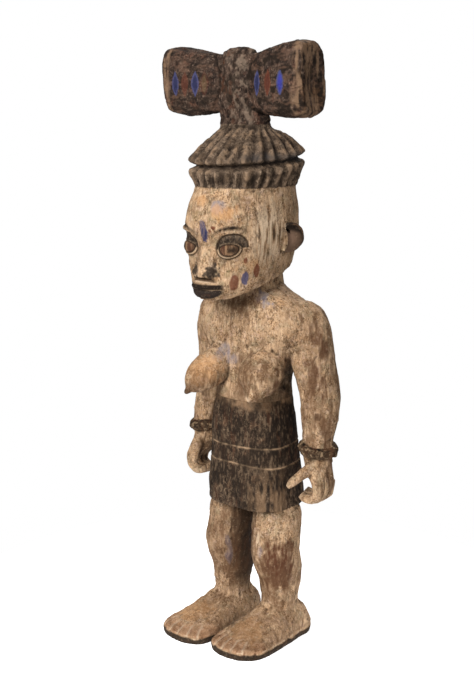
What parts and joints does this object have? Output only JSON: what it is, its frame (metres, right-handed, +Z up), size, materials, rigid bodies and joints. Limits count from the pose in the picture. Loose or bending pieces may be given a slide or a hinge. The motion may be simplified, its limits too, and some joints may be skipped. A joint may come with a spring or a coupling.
{
  "type": "carved fertility doll",
  "caption": "Standing carved wooden female figure with a pleated coiffure and a double axe on her head, a scored wrapper, bracelets and broad flat feet.",
  "frame": {"origin": "middle of the overall box, on the plane of the soles", "axes": "+Z up along the figure, -Y the way she faces, +X towards her left hand"},
  "size_m": [0.2332, 0.1716, 0.764],
  "materials": {
    "ochre_wood": "worn ochre and kaolin paint over adzed wood, matt with dark rubbed hollows",
    "wrapper_wood": "blackened wood with vertical tool marks, worn brown on the edges",
    "coiffure_wood": "dark brown stain, rubbed tan on the ridges",
    "axe_wood": "dark brown to black paint with reddish wear and small painted lozenges",
    "bracelet_wood": "blackened rough wood"
  },
  "bodies": {
    "root": {"head": "ochre_wood", "neck": "ochre_wood", "left_ear": "ochre_wood", "right_ear": "ochre_wood", "torso": "ochre_wood", "left_arm": "ochre_wood", "right_arm": "ochre_wood", "left_hand": "ochre_wood", "right_hand": "ochre_wood", "left_leg": "ochre_wood", "right_leg": "ochre_wood", "left_foot": "ochre_wood", "right_foot": "ochre_wood", "wrapper": "wrapper_wood", "lower_pleated_tier": "coiffure_wood", "upper_pleated_tier": "coiffure_wood", "axe_haft": "axe_wood", "left_axe_blade": "axe_wood", "right_axe_blade": "axe_wood", "left_bracelet": "bracelet_wood", "right_bracelet": "bracelet_wood"}
  },
  "joints": []
}
